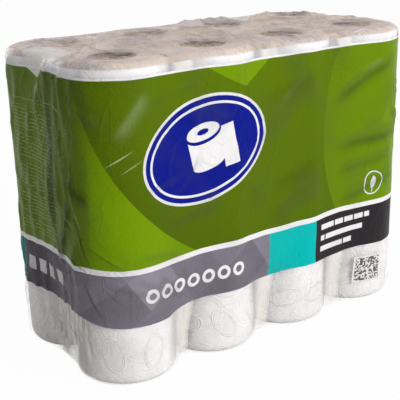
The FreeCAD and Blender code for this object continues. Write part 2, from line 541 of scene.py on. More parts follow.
def sleeve_point(along, dip, inset):
    """The film's outline in plan, along its girth: four sides of lobes joined by quarter circles.

    Along is 0 in the middle of the front, grows to the right, and returns at the middle of the back.
    """
    sides = ((0.0, 2 * HALF_ROW), (1.0, PITCH), (2.0, 2 * HALF_ROW), (3.0, PITCH))
    start = -HALF_ROW
    x = np.zeros(np.broadcast(along, dip).shape)
    y = np.zeros_like(x)
    along = np.mod(along + HALF_ROW, GIRTH) - HALF_ROW
    corners = ((HALF_ROW, -PITCH / 2), (HALF_ROW, PITCH / 2), (-HALF_ROW, PITCH / 2), (-HALF_ROW, -PITCH / 2))
    for (turn, run), (corner_x, corner_y) in zip(sides, corners):
        angle = turn * math.pi / 2
        forward = (math.cos(angle), math.sin(angle))
        outward = (math.sin(angle), -math.cos(angle))
        gone = along - start
        nearest = gone - PITCH * np.round(gone / PITCH)
        reach = wall_reach(nearest, dip, inset)
        on_side = (gone >= 0) & (gone < run)
        back = run - gone
        x = np.where(on_side, corner_x - forward[0] * back + outward[0] * reach, x)
        y = np.where(on_side, corner_y - forward[1] * back + outward[1] * reach, y)
        sweep = (gone - run) / LOBE_RADIUS
        on_turn = (gone >= run) & (gone < run + QUARTER_TURN)
        radius = LOBE_RADIUS - inset
        out, on = radius * np.cos(sweep), radius * np.sin(sweep)
        x = np.where(on_turn, corner_x + outward[0] * out + forward[0] * on, x)
        y = np.where(on_turn, corner_y + outward[1] * out + forward[1] * on, y)
        start += run + QUARTER_TURN
    return x, y


def wall_creases(along, height):
    """Folds pressed into the printed wall, as outward moves in metres."""
    left = -HALF_ROW - QUARTER_TURN
    folds = (
        ((-0.222, 0.190), (-0.190, 0.168), 0.0040, 0.0019),
        ((-0.219, 0.166), (-0.194, 0.108), 0.0026, 0.0018),
        ((-0.215, 0.172), (-0.250, 0.096), 0.0060, 0.0014),
        ((-0.226, 0.121), (-0.197, 0.106), 0.0030, 0.0014),
        ((-0.204, 0.136), (-0.158, 0.108), 0.0024, 0.0012),
        ((left - 0.010, 0.262), (left + 0.040, 0.235), 0.0036, 0.0016),
        ((left + 0.060, 0.124), (left + 0.112, 0.116), 0.0040, 0.0012),
        ((-0.150, 0.176), (-0.100, 0.186), 0.0040, 0.0010),
        ((-0.128, 0.140), (-0.060, 0.158), 0.0060, 0.0012),
        ((-0.142, 0.252), (-0.080, 0.262), 0.0060, 0.0010),
        ((0.070, 0.226), (0.165, 0.264), 0.0075, 0.0023),
        ((0.072, 0.182), (0.190, 0.190), 0.0080, 0.0024),
        ((0.075, 0.156), (0.168, 0.165), 0.0070, 0.0015),
        ((0.080, 0.122), (0.168, 0.148), 0.0070, 0.0018),
        ((0.150, 0.208), (0.196, 0.186), 0.0045, 0.0016),
        ((-0.010, 0.120), (0.060, 0.160), 0.0120, 0.0018),
        ((-0.030, 0.190), (0.050, 0.262), 0.0130, 0.0020),
        ((left + 0.030, 0.102), (left + 0.095, 0.078), 0.0032, 0.0015),
        ((left + 0.055, 0.106), (left + 0.120, 0.070), 0.0040, 0.0017),
        ((left + 0.012, 0.100), (left + 0.030, 0.066), 0.0026, 0.0014),
        ((left + 0.014, 0.060), (left + 0.034, 0.022), 0.0022, 0.0012),
        ((left + 0.004, 0.062), (left + 0.016, 0.014), 0.0020, 0.0014),
        ((left - 0.040, 0.130), (left - 0.012, 0.070), 0.0026, 0.0014),
        ((left - 0.034, 0.063), (left - 0.060, 0.016), 0.0022, 0.0018),
        ((left - 0.028, 0.012), (left - 0.060, 0.034), 0.0022, 0.0014),
    )
    total = np.zeros(np.broadcast(along, height).shape)
    for start, end, width, lift in folds:
        total = total + crease(along, height, start, end, width, lift)
    return total


# Strokes of shade (under zero) and shine (over zero) beside the folds of the printed wall: the two
# ends as (girth, height), the width in metres and the strength. The mesh carries the soft ones, and
# the material draws the fine ones.
SOFT_STROKES = (
    ((-0.224, 0.191), (-0.189, 0.167), 0.0085, -0.80),
    ((-0.214, 0.174), (-0.251, 0.094), 0.0090, -0.75),
    ((-0.246, 0.262), (-0.258, 0.110), 0.0080, -0.65),
    ((-0.170, 0.222), (-0.138, 0.264), 0.0065, 0.14),
    ((0.068, 0.219), (0.160, 0.258), 0.0065, -0.40),
    ((0.070, 0.175), (0.190, 0.182), 0.0070, -0.45),
    ((0.074, 0.150), (0.168, 0.158), 0.0060, -0.25),
    ((0.078, 0.116), (0.168, 0.141), 0.0060, -0.30),
    ((0.148, 0.204), (0.197, 0.181), 0.0048, -0.50),
    ((-0.015, 0.236), (0.055, 0.252), 0.0100, -0.22),
    ((-0.010, 0.150), (0.062, 0.172), 0.0110, -0.22),
    ((-0.135, 0.102), (-0.110, 0.080), 0.0050, -0.30),
)
FINE_STROKES = (
    ((-0.219, 0.167), (-0.193, 0.107), 0.0013, -0.85),
    ((-0.216, 0.169), (-0.204, 0.142), 0.0008, 0.45),
    ((-0.229, 0.156), (-0.214, 0.139), 0.0008, 0.40),
    ((-0.227, 0.122), (-0.196, 0.105), 0.0015, -0.75),
    ((-0.204, 0.136), (-0.157, 0.107), 0.0008, -0.70),
    ((-0.230, 0.121), (-0.215, 0.108), 0.0009, 0.40),
    ((-0.180, 0.2005), (-0.151, 0.2160), 0.0010, 0.65),
    ((-0.167, 0.1945), (-0.143, 0.2075), 0.0009, 0.42),
    ((-0.152, 0.175), (-0.095, 0.190), 0.0009, -0.40),
    ((-0.246, 0.250), (-0.226, 0.238), 0.0010, 0.45),
    ((-0.205, 0.100), (-0.188, 0.070), 0.0012, -0.50),
    ((-0.190, 0.100), (-0.165, 0.076), 0.0014, -0.40),
)

# The same on the clear film: over the roll ends, as (x, y), and near the base, as (girth, height).
TOP_STROKES = (
    ((-0.106, 0.040), (-0.186, -0.064), 0.0012, 0.75),
    ((-0.161, 0.056), (-0.143, 0.050), 0.0022, 0.90),
    ((-0.182, 0.063), (-0.143, 0.094), 0.0012, 0.60),
    ((-0.188, 0.041), (-0.132, 0.094), 0.0012, 0.60),
    ((0.060, -0.071), (0.088, -0.061), 0.0026, 1.00),
    ((0.100, -0.086), (0.128, -0.084), 0.0018, 0.90),
    ((0.050, -0.068), (0.072, -0.064), 0.0014, 0.70),
    ((0.066, -0.090), (0.094, -0.078), 0.0014, 0.60),
    ((-0.002, -0.076), (-0.020, -0.090), 0.0014, 0.60),
    ((-0.152, 0.070), (-0.133, 0.057), 0.0034, -0.80),
    ((-0.172, -0.066), (-0.142, -0.046), 0.0024, -0.80),
    ((-0.148, -0.044), (-0.137, -0.075), 0.0034, -0.85),
    ((-0.056, 0.078), (-0.027, 0.037), 0.0048, -0.80),
    ((-0.064, -0.024), (-0.064, -0.052), 0.0052, -0.70),
    ((0.032, -0.053), (0.031, -0.091), 0.0064, -0.75),
    ((-0.040, -0.036), (-0.040, -0.066), 0.0048, -0.50),
    ((0.028, 0.016), (-0.025, -0.070), 0.0011, -0.60),
    ((0.174, 0.012), (0.161, -0.081), 0.0095, -0.50),
    ((0.150, 0.050), (0.168, 0.019), 0.0042, -0.60),
)
FOOT_STROKES = (
    ((-0.268, 0.061), (-0.299, 0.013), 0.0012, -0.75),
    ((-0.265, 0.058), (-0.295, 0.012), 0.0009, 0.50),
    ((-0.300, 0.022), (-0.280, 0.006), 0.0012, -0.70),
    ((-0.280, 0.054), (-0.303, 0.022), 0.0008, -0.45),
    ((-0.255, 0.047), (-0.210, 0.036), 0.0016, -0.55),
    ((-0.225, 0.057), (-0.208, 0.039), 0.0014, -0.60),
    ((-0.262, 0.013), (-0.216, 0.028), 0.0016, -0.50),
    ((-0.243, 0.064), (-0.258, 0.018), 0.0024, -0.65),
    ((-0.236, 0.061), (-0.221, 0.029), 0.0014, -0.50),
    ((-0.231, 0.062), (-0.213, 0.043), 0.0011, 0.50),
)


def stroke_tone(along, height):
    """The sum of the strokes at each place, from -1 for deep shade to 1 for full shine."""
    total = np.zeros(np.broadcast(along, height).shape)
    for start, end, width, strength in SOFT_STROKES:
        total = total + crease(along, height, start, end, width, strength)
    return np.clip(total, -1, 1)


def film_points():
    """All rows of the film, from the middle of its base up round the wall to the middle of its top.

    Each row is the sleeve's outline at a height, taken in by an inset. Past the rounded edges the
    rows close in on the line between the end rolls' centres, in even steps.
    """
    along = -GIRTH / 2 + GIRTH * np.arange(FILM_COLUMNS) / FILM_COLUMNS
    turns = np.linspace(0, math.pi / 2, ROUND_ROWS)
    low = FILM_FLOOR
    wall = np.linspace(low + EDGE_ROUND, FILM_TOP - EDGE_ROUND, WALL_ROWS)
    foot = low + EDGE_ROUND * (1 - np.cos(turns[:-1]))
    foot_inset = EDGE_ROUND * (1 - np.sin(turns[:-1]))
    heights = np.concatenate([foot, wall, (FILM_TOP + low - foot)[::-1]])
    insets = np.concatenate([foot_inset, np.zeros(WALL_ROWS), foot_inset[::-1]])
    dip = film_dip(heights)[:, None] * valley_share(along[None, :], heights[:, None])
    x, y = sleeve_point(along[None, :], dip, insets[:, None])
    z = np.broadcast_to(heights[:, None], x.shape).copy()
    middle_x = np.clip(x, -HALF_ROW, HALF_ROW)
    steps = np.linspace(0, 1, CLOSURE_ROWS + 1)[1:, None]

    def closure(row):
        end_x = middle_x[row][None, :]
        return x[row] + (end_x - x[row]) * steps, y[row] * (1 - steps), np.full((CLOSURE_ROWS, 1), z[row, 0])

    low_x, low_y, low_z = closure(0)
    top_x, top_y, top_z = closure(-1)
    x = np.concatenate([low_x[::-1], x, top_x])
    y = np.concatenate([low_y[::-1], y, top_y])
    z = np.concatenate([low_z[::-1] + 0 * low_x, z, top_z + 0 * top_x])
    drop = np.concatenate([-steps[::-1, 0], np.zeros(len(heights)), steps[:, 0]])
    return along, x, y, z, drop


def surface_normals(x, y, z):
    """Outward directions of a closed grid, from the differences between neighbours."""
    points = np.stack([x, y, z], axis=-1)
    across = np.roll(points, -1, axis=1) - np.roll(points, 1, axis=1)
    up = np.gradient(points, axis=0)
    normals = np.cross(across, up)
    size = np.linalg.norm(normals, axis=-1, keepdims=True)
    return normals / np.maximum(size, 1e-12)


def closure_relief(x, y, seed):
    """How loose film lies over the roll ends: it sags into the cores and the gaps, and crinkles."""
    column = (x + HALF_ROW) / PITCH
    row = (y + PITCH / 2) / PITCH
    near_x = (column - np.clip(np.round(column), 0, COLUMNS - 1)) * PITCH
    near_y = (row - np.clip(np.round(row), 0, 1)) * PITCH
    from_axis = np.hypot(near_x, near_y)
    sag = -0.0018 * (1 - smooth(0.5 * CORE_RADIUS, 1.15 * CORE_RADIUS, from_axis))
    sag = sag - 0.0026 * smooth(0.96 * PITCH / 2, 1.3 * PITCH / 2, from_axis)
    crinkle = 0.0012 * ridges(x, y, 0.085, seed, 2.6) + 0.0009 * ridges(x, y, 0.038, seed + 1, 2.6)
    crinkle = crinkle + 0.0004 * ripple(x, y, 0.02, seed + 2) + 0.0006 * ripple(x * 0.5, y, 0.05, seed + 3)
    return sag, np.maximum(crinkle, -0.0008)


def loose_film(x, y):
    """Where the top film stands clear of the rolls: the solid's folds, each as a leaning bell."""
    total = np.zeros(x.shape)
    for start, end, width, height in LOOSE_FOLDS:
        start = tuple(PITCH * part for part in start)
        end = tuple(PITCH * part for part in end)
        total = total + crease(x, y, start, end, 0.36 * width, height)
    return total


def wall_relief(girth, z, printed):
    """How far the wall stands off its plain outline: folds, soft waves, and crumples on the two ends."""
    half_turn = GIRTH / 2
    from_end = np.abs(np.mod(girth + GIRTH / 4 + half_turn / 2, half_turn) - half_turn / 2)
    on_ends = 1 - smooth(0.045, 0.080, from_end)
    move = wall_creases(girth, z) + 0.00035 * ripple(girth, z, 0.06, 3)
    crumple = 0.0010 * ridges(girth, z * 0.42, 0.034, 5, 2.8) + 0.0005 * ridges(girth, z * 0.8, 0.019, 8, 2.6)
    move = move + on_ends * (crumple + 0.0007 * ripple(girth, z * 0.5, 0.022, 6))
    loose = 0.0007 * ridges(girth, z * 0.6, 0.045, 15, 3.0) * smooth(0.3, 0.9, ripple(girth, z, 0.16, 17))
    move = move + loose
    clear = 0.0006 * ridges(girth, z * 0.7, 0.026, 12, 2.4) * (1 - printed)
    return move + clear


def make_film(settings):
    """The film's surface, with print coordinates and a field that says where it closes over the ends."""
    along, x, y, z, closing = film_points()
    normals = surface_normals(x, y, z)
    girth = np.broadcast_to(along[None, :], x.shape)
    closing = closing[:, None] + 0 * x
    rounded = smooth(0.001, 0.016, z - FILM_FLOOR) * smooth(0.001, 0.016, FILM_TOP - z)
    printed = smooth(settings.band_low - 0.01, settings.band_low + 0.01, z)
    printed = printed * smooth(0.002, 0.01, settings.print_high - z)
    move = wall_relief(girth, z, printed)
    # The soft strokes' painted shade and shine, carried by the mesh.
    tone = np.where(closing == 0, stroke_tone(girth, z), 0)
    # Over a roll the film may give way by less than its play; in a valley it has more room.
    side_run = np.abs(np.mod(girth + HALF_ROW, GIRTH / 2) - HALF_ROW)
    valley = np.abs(np.mod((x + 2 * PITCH) / PITCH, 1) - 0.5) * 2
    valley = np.where(side_run <= HALF_ROW, 1 - valley, 0)
    move = np.maximum(move, -PLAY - VALLEY_ROOM * smooth(0.6, 0.95, valley))
    move = np.where(closing == 0, move * rounded, 0)
    x = x + normals[..., 0] * move
    y = y + normals[..., 1] * move
    z = z + normals[..., 2] * move
    sag, crinkle = closure_relief(x, y, 21)
    lid = smooth(0.0, 0.22, closing)
    z = z + lid * (sag + crinkle + 0.0010) + smooth(0.0, 0.3, closing) * loose_film(x, y)
    points = np.stack([x, y, z], axis=-1).reshape(-1, 3)
    quads = grid_faces(len(x), FILM_COLUMNS, True)
    up = np.where(closing < 0, -0.02, np.where(closing > 0, FILM_TOP + 0.01, z))
    after = np.concatenate([along[1:], [GIRTH / 2]])
    uvs = grid_uvs(girth, np.broadcast_to(after[None, :], x.shape), up)
    fields = {
        "ends": np.where(closing == 0, 0.0, 1.0),
        "folded": np.clip(move / 0.0012, 0, 1),
        "tone": tone / 2 + 0.5,
    }
    return mesh_object("printed_film", points, quads, uvs, fields)


# Where the marks of the print stand, as (along, height).
BADGE_PLACE = (-0.079, 0.203)
CODE_PLACE = (0.129, 0.037)
LEAF_PLACE = (0.130, 0.131)


def wrapped(value, period):
    """A coordinate that runs from minus to plus half a period, over and over."""
    return value - (value / period + 0.5).floor() * period


def green_fields(graph, along, up, settings):
    """Overlapping round fields of green, each with soft changes of tone."""
    clouds = graph.noise(graph.vector(along, up), 7.0, 2.0)
    shade = (clouds - 0.5) * 0.5
    low = (0.80 - up * 2.4 + abs(along - 0.02) * 1.6 + shade).clamped()
    middle = graph.mix(low, settings.green_mid, settings.green_dark)
    patch = distance_to(along, up, (0.060, 0.4835)).under(0.25)
    patch = patch * distance_to(along, up, (-0.129, 0.429)).under(0.20)
    fields = graph.mix(patch, middle, settings.green_light)
    from_left = distance_to(along, up, (0.035, 0.323))
    glow = distance_to(along, up, (-0.150, 0.155))
    left = graph.mix((1.2 - glow * 8.0 + shade).clamped(), settings.green_mid, settings.green_light)
    edge = (1 - (0.245 - from_left) * 22.0).most(0.0) * from_left.under(0.245)
    fields = graph.mix(edge * 0.5 * along.under(-0.06, 0.04), fields, settings.green_dark)
    fields = graph.mix(from_left.over(0.245), fields, left)
    right_light = ((along - 0.04) * 6.0 + shade).clamped()
    right = graph.mix(right_light, settings.green_mid, settings.green_light)
    return graph.mix(distance_to(along, up, (0.2195, 0.1925)).under(0.1595), fields, right)


def band_fields(graph, along, up, settings):
    """The band: facets of grey, then a teal block and a black one."""
    skew = along + up * 0.7
    other = along - up * 1.4
    facets = graph.chance(graph.vector((skew / 0.047).floor(), (other / 0.061).floor()))
    slow = graph.noise(graph.vector(along, up), 30.0, 1.0)
    light = (facets * 0.8 + (slow - 0.5) * 0.6).clamped()
    grey = graph.mix(light, settings.dark_grey_and_end_shade, settings.grey_light)
    teal = along.over(-0.005)
    black = along.over(0.052)
    return graph.mix(black, graph.mix(teal, grey, settings.teal), settings.black)


def badge_masks(along, up):
    """The badge: a navy oval, and on it a white rim and a roll with a hanging sheet."""
    x, y = turned(along, up, BADGE_PLACE, 0.20)
    oval = in_oval(x, y, 0.065, 0.044)
    halo = in_oval(x, y, 0.0675, 0.0465)
    rim = in_oval(x, y, 0.0605, 0.0395) - in_oval(x, y, 0.0583, 0.0373)
    y = y - 0.004
    body = in_box(x, y + 0.003, 0.017, 0.014).most(in_oval(x, y + 0.017, 0.017, 0.006))
    sheet = in_box(x - 0.024, y + 0.008, 0.0075, 0.019)
    head = in_oval(x, y - 0.012, 0.017, 0.0075)
    hole = in_oval(x, y - 0.012, 0.006, 0.0026)
    gap = in_oval(x, y - 0.0105, 0.0185, 0.0092) - head
    roll = ((body.most(sheet) - gap.most(0.0)).most(head) - hole).clamped()
    return halo, oval, rim.most(0.0).most(roll)


def plain_lines(graph, x, y, start, heights, ends, thick, word):
    """Rows of white bars broken at random, where the pack has its words."""
    total = None
    for number, (height, end) in enumerate(zip(heights, ends)):
        middle = (start + end) / 2
        bar = in_box(x - middle, y - height, (end - start) / 2, thick / 2, 0.0003)
        piece = x / word
        gap = graph.chance(graph.vector(piece.floor(), number * 7.0)).over(0.45)
        bar = bar * (1 - piece.past_whole().over(0.86, 0.04) * gap)
        total = bar if total is None else total.most(bar)
    return total


def small_print(graph, across, up, fine):
    """Rows of short pale dashes on the two ends of the pack, ragged at the right."""
    pitch = 0.0033
    y = up + (fine - 0.5) * 0.002 + across * 0.05
    row = (y / pitch).floor()
    in_row = abs(y / pitch - row - 0.5).under(0.13, 0.07)
    letter = 0.0014
    x = across + graph.chance(graph.vector(row, 3.0)) * 0.01
    inked = graph.chance(graph.vector((x / letter).floor(), row)).over(0.28)
    inked = inked * abs((x / letter).past_whole() - 0.5).under(0.4, 0.1)
    reach = 0.0165 - graph.chance(graph.vector(row, 9.0)) * 0.012
    paragraph = abs(wrapped(row, 8.0)).over(0.5)
    column = across.over(-0.051) * across.under(reach) * up.over(0.120) * up.under(0.246)
    return in_row * inked * column * (paragraph * 0.8 + 0.2)


def code_square(graph, along, up):
    """A square of random dark cells on white, which says nothing: (white square, dark cells)."""
    x = along - CODE_PLACE[0]
    y = up - CODE_PLACE[1]
    paper = in_box(x, y, 0.0165, 0.0150)
    cell = 0.0015
    dark = graph.chance(graph.vector((x / cell).floor(), (y / cell).floor())).over(0.48)
    return paper, dark * in_box(x, y, 0.0142, 0.0128)


def leaf_mark(along, up):
    """A plain white ring with a leaf in it, on the green."""
    x = along - LEAF_PLACE[0]
    y = up - LEAF_PLACE[1]
    far = (x * x + y * y) ** 0.5
    ring = far.under(0.0125) - far.under(0.0112)
    one = distance_to(x, y, (-0.0052, 0.0008)).under(0.0088)
    other = distance_to(x, y, (0.0052, 0.0008)).under(0.0088)
    stem = in_box(x, y + 0.004, 0.0005, 0.0058)
    return ring.most(one * other).most(stem)


def warped(graph, place, scale, amount):
    """A place moved by soft noise, so that the lines of a pattern bend."""
    noise = graph.node("ShaderNodeTexNoise", None, {"Vector": place, "Scale": scale, "Detail": 1.0})
    inputs = {0: noise.outputs["Color"], 1: (amount, amount, amount), 2: place}
    return graph.node("ShaderNodeVectorMath", {"operation": "MULTIPLY_ADD"}, inputs).outputs[0]


def cracks(graph, place, scale, width):
    """Thin straight creases: the edges between cells of crumpled film."""
    inputs = {"Vector": warped(graph, place, scale * 0.4, 0.008), "Scale": scale}
    cells = graph.node("ShaderNodeTexVoronoi", {"feature": "DISTANCE_TO_EDGE"}, inputs)
    return (1 - Value(graph, cells.outputs["Distance"]) / width).most(0.0)


def facets_of(graph, place, scale):
    """A random level for each flat patch of crumpled film."""
    inputs = {"Vector": warped(graph, place, scale * 0.5, 0.02), "Scale": scale, "Randomness": 1.0}
    cells = graph.node("ShaderNodeTexVoronoi", None, inputs)
    return graph.parts(cells.outputs["Color"])[0]


# The closure's folds, as on the solid: where a tuck starts along the end, how far it reaches in,
# and where the seam lies.
TUCK_START = 0.038
TUCK_REACH = 0.099
SEAM_PLACE = 0.050
HALF_SEAM = 0.010


def tuck_layers(x, y):
    """How many folds of film lie on the roll ends: the two tucks and the welded seam, and their edges."""
    half_length, half_depth = film_box[1][:2]
    reach = abs(x)
    near = y + half_depth - TUCK_START
    near = near - (half_length - reach) * ((SEAM_PLACE + half_depth - TUCK_START) / TUCK_REACH)
    far = SEAM_PLACE + (reach - half_length + TUCK_REACH) * ((half_depth - SEAM_PLACE) / TUCK_REACH) - y
    tuck = near.over(0.0) * far.over(0.0)
    seam_y = abs(y - SEAM_PLACE)
    seam = seam_y.under(HALF_SEAM)
    edges = abs(near.least(far)).under(0.0006, 0.0005) + abs(seam_y - HALF_SEAM).under(0.0005, 0.0004)
    return tuck + seam, edges.least(1.0), seam


def fine_strokes(graph, along, up, strokes):
    """Fine strokes, each 1 on its middle line and tapered to both tips: (shade, shine).

    Gone runs from 0 to 1 from tip to tip, off is the distance from the line in widths, and the
    stroke is 4 gone (1 - gone) less off, where that is over 0.
    """
    shade = 0.0
    shine = 0.0
    for (ax, ay), (bx, by), width, strength in strokes:
        run = math.hypot(bx - ax, by - ay)
        forward_x = (bx - ax) / run
        forward_y = (by - ay) / run
        gone = graph.scaled(up, forward_y / run, -(ax * forward_x + ay * forward_y) / run)
        gone = graph.scaled(along, forward_x / run, gone)
        off = graph.scaled(up, -forward_x / width, (ay * forward_x - ax * forward_y) / width)
        off = abs(graph.scaled(along, forward_y / width, off))
        stroke = (gone * graph.scaled(gone, -4.0, 4.0) - off).most(0.0)
        if strength < 0:
            shade = graph.scaled(stroke, -strength, shade)
        else:
            shine = graph.scaled(stroke, strength, shine)
    return shade, shine


def film_material(settings):
    """Printed film: opaque inks in the middle, clear film above and below."""
    graph = Graph(bpy.data.materials.new("printed film"))
    girth, up = graph.uv()
    x, y, z = graph.place()
    fold = graph.attribute("folded")
    along = wrapped(girth, GIRTH / 2)
    across = wrapped(girth + GIRTH / 4, GIRTH / 2)
    fine = graph.noise(graph.vector(girth, up), 90.0, 3.0)
    broad = graph.noise(graph.vector(girth, up), 14.0, 2.0)
    level = up + (broad - 0.5) * 0.004
    foot = level + 0.006 * (along + 0.20).over(0.0, 0.03) * (along + 0.105).under(0.0, 0.03)
    ink = foot.over(settings.band_low) * level.under(settings.print_high + 0.0018)
    line = level.over(settings.band_high) * level.under(settings.line_high)
    green = level.over(settings.line_high)
    colours = green_fields(graph, along, up, settings)
    colours = graph.mix(green, band_fields(graph, along, up, settings), colours)

    # On the two ends: a deeper green and a darker band, which are painted shade of the ends, then small
    # print, a row of squares and a dark teal strip.
    on_end = abs(across).under(0.066, 0.010)
    colours = graph.mix(on_end * green * 0.55, colours, settings.end_green_painted_shade)
    colours = graph.mix(on_end * (1 - green) * 0.5, colours, settings.dark_grey_and_end_shade)
    block = across.over(-0.054, 0.006) * across.under(0.022, 0.006) * green
    strip = across.under(-0.052) * across.over(-0.084) * (1 - green)
    colours = graph.mix(strip, colours, settings.teal_dark)
    squares = abs(wrapped(across + 0.006, 0.0165)).under(0.0056)
    squares = squares * in_box(across + 0.014, up - 0.087, 0.033, 0.0065)
    white = line.most(squares * 0.75).most(level.over(settings.print_high))

    halo, oval, drawn = badge_masks(along, up)
    colours = graph.mix(halo * 0.9, colours, settings.white_ink_and_glint)
    colours = graph.mix(oval, colours, settings.navy)
    white = white.most(drawn)

    # A row of rings on the band, in place of words.
    ring_pitch = 0.0160
    ring_cell = ((along + 0.150) / ring_pitch).floor()
    ring_from = distance_to(along + 0.150 - (ring_cell + 0.5) * ring_pitch, up, (0.0, 0.0845))
    rings = ring_from.under(0.0066, 0.0003) - ring_from.under(0.0034, 0.0003)
    rings = rings * along.over(-0.150) * along.under(-0.038)
    white = white.most(rings.most(0.0)).most(leaf_mark(along, up))
    line_heights = (0.0985, 0.0870, 0.0755)
    line_ends = (0.128, 0.121, 0.106)
    white = white.most(plain_lines(graph, along, up, 0.060, line_heights, line_ends, 0.0055, 0.0135))
    colours = graph.mix(white, colours, settings.white_ink_and_glint)
    dashes = small_print(graph, across, up, fine)
    colours = graph.mix(dashes * 0.42, colours, settings.dash_ink)
    # Painted shade: the ink is darkened where the film stands out in a fold.
    colours = graph.mix(fold * 0.22, colours, settings.fold_painted_shade)
    # Painted shade and shine from the soft strokes on the mesh and the fine strokes in the material.
    tone = graph.attribute("tone") * 2 - 1
    shade, shine = fine_strokes(graph, girth, up, FINE_STROKES)
    colours = graph.mix(((-tone).most(0.0) + shade).least(1.0) * 0.8, colours, settings.fold_dark)
    colours = graph.mix((tone.most(0.0) + shine).least(1.0) * 0.8, colours, settings.glint)
    tongue = ((-0.270 - girth) * 0.44).most((girth + 0.270) * 1.1) + 0.265
    flap = (up - tongue).over(0.0, 0.0005) * abs(girth + 0.275).under(0.030)
    colours = graph.mix(flap * 0.85, colours, settings.milk_and_painted_light)
    paper, cells = code_square(graph, along, up)
    colours = graph.mix(paper * (1 - ink), colours, settings.white_ink_and_glint)
    colours = graph.mix(cells * (1 - ink), colours, settings.black)

    # Clear film: milky where it is folded, doubled or loose. Over the roll ends it carries a warm and grey
    # haze that is partly the film's own and partly painted shade, painted shade over the cores and along dark
    # strokes, and painted glints.
    ends = graph.attribute("ends").most(level.over(FILM_TOP - 0.0052, 0.0006))
    layers, edges, seam = tuck_layers(x, y)
    flat = graph.vector(x, y, z)
    cloud = graph.noise(flat, 16.0, 3.0, 0.6)
    patch = graph.noise(flat, 9.0, 1.0)
    streak = graph.noise(graph.vector(x * 2.2 + y * 1.4, y * 0.8 - x * 0.5, z), 55.0, 3.0, 0.6)
    glint = (1 - abs(streak - 0.5) * 14.0).most(0.0)
    sharp = cracks(graph, flat, 26.0, 0.014).most(cracks(graph, flat, 61.0, 0.028) * 0.8)
    sharp = sharp * ((patch - 0.40) * 6.0).clamped()
    facet = facets_of(graph, flat, 34.0)
    weld = abs(wrapped(x + y, 0.0022)).under(0.0005, 0.0004) * seam
    # Cloudy patches where the top film is greyer and more opaque.
    grey_patches = ((cloud - 0.42) * 4.0).clamped()
    underneath = z.under(0.02, 0.002)
    near_x = wrapped(x - PITCH / 2, PITCH)
    near_y = wrapped(y - PITCH / 2, PITCH)
    from_axis = (near_x * near_x + near_y * near_y) ** 0.5
    web = from_axis.over(0.0475, 0.002) * underneath
    # Painted shade over the open cores, broken up by the streak noise.
    hole = from_axis.under(0.020, 0.005) * ends * ((streak - 0.36) * 6.0).most(0.35).least(1.0)
    mottle = graph.noise(flat, 120.0, 2.0, 0.6)
    greyed = (grey_patches * 0.8 + (mottle - 0.5) * 1.8).clamped()
    tint = graph.mix(greyed, settings.warm_haze_and_shade, settings.grey_haze_and_shade)
    top_shade, top_shine = fine_strokes(graph, x, y, TOP_STROKES)
    foot_shade, foot_shine = fine_strokes(graph, girth, up, FOOT_STROKES)
    above = z.over(0.2)
    top_shade = top_shade * above
    top_shine = top_shine * above
    milky = in_oval(x + 0.176, y - 0.002, 0.015, 0.034, 0.004) * above
    tint = graph.mix((hole * 0.85).most(top_shade.least(1.0)), tint, settings.deep_painted_shade)
    tint = graph.mix(milky * 0.8, tint, settings.milk_and_painted_light)
    tint = graph.mix(ends, settings.milk_and_painted_light, tint)
    # Painted glints: white along the streaks, the cracks, the brightest facets and the shine strokes; the
    # tuck edges and the seam are whiter for their doubled film.
    bright_lid = (glint * 0.45).most(edges * 0.6).most(weld * 0.4).most(sharp * 0.3).most(top_shine)
    bright_lid = bright_lid.most((facet - 0.72) * (mottle * 3.2 - 0.4))
    bright = ends * bright_lid + (1 - ends) * (glint * 0.5).most(sharp)
    tint = graph.mix(bright.least(1.0), tint, settings.white_ink_and_glint)
    lid_alpha = 0.36 + grey_patches * 0.20 + facet * 0.20 + layers * 0.10 + bright * 0.25 - hole * 0.12
    lid_alpha = lid_alpha * (1 - web)
    lid_alpha = lid_alpha.most(milky * 0.8).most(top_shade.least(1.0) * 0.9).most(top_shine.least(1.0) * 0.95)

    # Near the base the film is pinched between the rolls, and fills the gap with milky pleats, with painted
    # shade in their hollows. The milky flank beside each valley is also painted light over the shaded side of
    # the roll, and the groove is a line of painted shade in the valley.
    pleats = graph.noise(graph.vector(girth * 260.0, up * 22.0), 1.0, 2.0)
    past = wrapped(along, PITCH)
    below_print = up.under(settings.band_low + 0.004, 0.004)
    on_row = abs(along).under(0.13) * below_print
    flank = past.over(-0.022, 0.012) * past.under(0.0015, 0.0015) * on_row
    collar = level.over(settings.print_high + 0.001) * (1 - ends)
    groove = abs(past).under(0.0006, 0.0009) * on_row
    loose = across.over(0.0, 0.001) * across.under(0.062, 0.012) * girth.under(0.0)
    loose = loose.most(abs(across).under(0.010, 0.006) * girth.over(0.0)) * below_print
    pinch = flank.most(loose)
    pleated = (flank * 0.95).most(loose * ((pleats - 0.3) * 2.5).most(0.45).least(0.85)).most(groove)
    tint = graph.mix(loose * 0.85, tint, graph.mix(pleats, settings.pleat_shade, settings.milk_and_painted_light))
    tint = graph.mix(flank, tint, graph.mix(pleats * 0.35, settings.milk_and_painted_light, settings.pleat_shade))
    tint = graph.mix(groove * 0.6, tint, settings.pleat_shade)
    # A line of painted shade on the valley between the two end lobes, added to the dark foot strokes.
    edge = abs(across).under(0.0008, 0.0008) * girth.under(0.0) * below_print
    foot_shade = foot_shade.most(edge * 0.7).least(1.0)
    foot_shine = foot_shine.least(1.0)
    tint = graph.mix(foot_shade, tint, settings.deep_painted_shade)
    corner = (across + 0.015).over(0.0, 0.03) * (girth + 0.172).under(0.0, 0.012) * across.under(0.13)
    wall_alpha = 0.015 + glint * 0.12 * cloud + sharp * 0.22 + fold * 0.26
    wall_alpha = wall_alpha + corner * (0.10 + cloud * 0.12) + pleated * 0.86 * z.over(0.010, 0.006)
